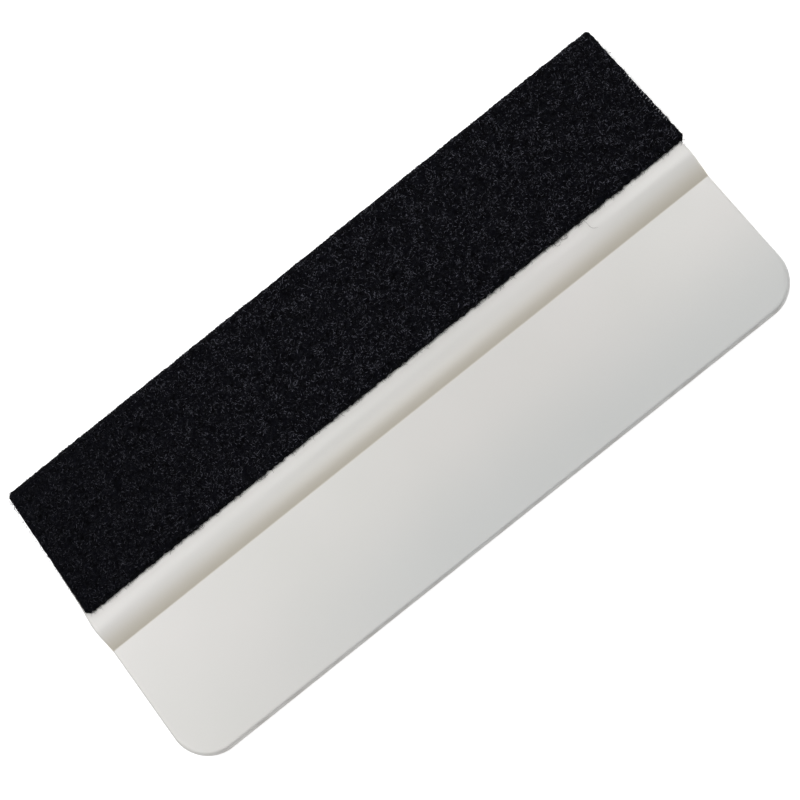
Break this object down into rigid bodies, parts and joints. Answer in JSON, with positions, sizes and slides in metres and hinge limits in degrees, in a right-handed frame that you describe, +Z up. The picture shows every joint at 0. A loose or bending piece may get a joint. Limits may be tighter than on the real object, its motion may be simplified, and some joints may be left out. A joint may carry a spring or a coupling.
{
  "type": "felt-edged hand squeegee",
  "caption": "Flat hand squeegee for smoothing vinyl film: a moulded plastic plate with a thickened rib and a tapered blade, wrapped in black felt along the working edge.",
  "frame": {"origin": "middle of the footprint, on the table the tool lies on", "axes": "+X along the working edge, +Y from the handle towards the felt, +Z up from the table. The tool is in the attitude in which it lies by itself, on the felt's lower cut edge and the handle's free edge, so its middle plane is leant back 4.08 degrees about X."},
  "size_m": [0.1512, 0.0698, 0.0081],
  "materials": {
    "body_plastic": "matte",
    "adhesive": "satin",
    "felt": "matte"
  },
  "bodies": {
    "root": {"squeegee_body": "body_plastic", "adhesive_film": "adhesive", "felt_strip": "felt"}
  },
  "joints": []
}
